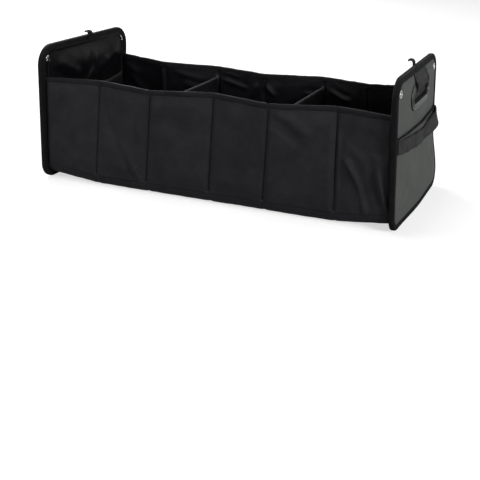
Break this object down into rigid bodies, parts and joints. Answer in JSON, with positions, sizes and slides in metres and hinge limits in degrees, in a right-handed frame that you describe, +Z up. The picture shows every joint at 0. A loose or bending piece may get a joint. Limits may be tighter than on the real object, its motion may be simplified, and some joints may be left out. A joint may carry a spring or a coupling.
{
  "type": "trunk organizer",
  "caption": "Open folding car trunk organizer: upright padded end panels with hand slots, black cloth walls that fold, dividers and a stiffened floor.",
  "frame": {"origin": "middle of the ground area under the part, at the height of the ground", "axes": "+X along the length towards the right end, +Y to the rear, +Z up"},
  "size_m": [0.7532, 0.32, 0.277],
  "materials": {
    "heather_cloth": "grey heather woven polyester",
    "black_cloth": "black woven polyester",
    "binding_tape": "black woven tape",
    "webbing": "black ribbed webbing",
    "rim_plastic": "black moulded, semi-gloss",
    "nickel": "bright nickel plate",
    "board": "plain stiffening board"
  },
  "bodies": {
    "root": {"left_panel_board": "board", "left_outer_cover": "heather_cloth", "left_inner_lining": "black_cloth", "left_edge_binding": "binding_tape", "left_handle_rim": "rim_plastic", "left_handle_rim_clip": "rim_plastic", "left_handle_wrap": "black_cloth", "left_front_eyelet": "nickel", "left_rear_eyelet": "nickel", "left_closing_tab": "webbing", "left_outer_pocket": "heather_cloth", "left_pocket_piping": "binding_tape", "left_strap": "webbing", "left_end_flap": "black_cloth", "right_panel_board": "board", "right_outer_cover": "heather_cloth", "right_inner_lining": "black_cloth", "right_edge_binding": "binding_tape", "right_handle_rim": "rim_plastic", "right_handle_rim_clip": "rim_plastic", "right_handle_wrap": "black_cloth", "right_front_eyelet": "nickel", "right_rear_eyelet": "nickel", "right_closing_tab": "webbing", "right_outer_pocket": "heather_cloth", "right_pocket_piping": "binding_tape", "right_strap": "webbing", "right_end_flap": "black_cloth", "front_wall_outer": "black_cloth", "front_wall_lining": "black_cloth", "front_wall_hem": "binding_tape", "front_wall_board_1": "board", "front_wall_board_2": "board", "front_wall_board_3": "board", "front_wall_board_4": "board", "front_wall_board_5": "board", "front_wall_board_6": "board", "rear_wall_outer": "black_cloth", "rear_wall_lining": "black_cloth", "rear_wall_hem": "binding_tape", "rear_wall_board_1": "board", "rear_wall_board_2": "board", "rear_wall_board_3": "board", "rear_wall_board_4": "board", "rear_wall_board_5": "board", "rear_wall_board_6": "board", "floor_tray": "black_cloth", "floor_lining": "black_cloth", "floor_board_1": "board", "floor_board_2": "board", "floor_board_3": "board", "floor_board_4": "board", "floor_board_5": "board", "floor_board_6": "board", "left_divider": "black_cloth", "left_divider_board": "board", "right_divider": "black_cloth", "right_divider_board": "board"}
  },
  "joints": []
}
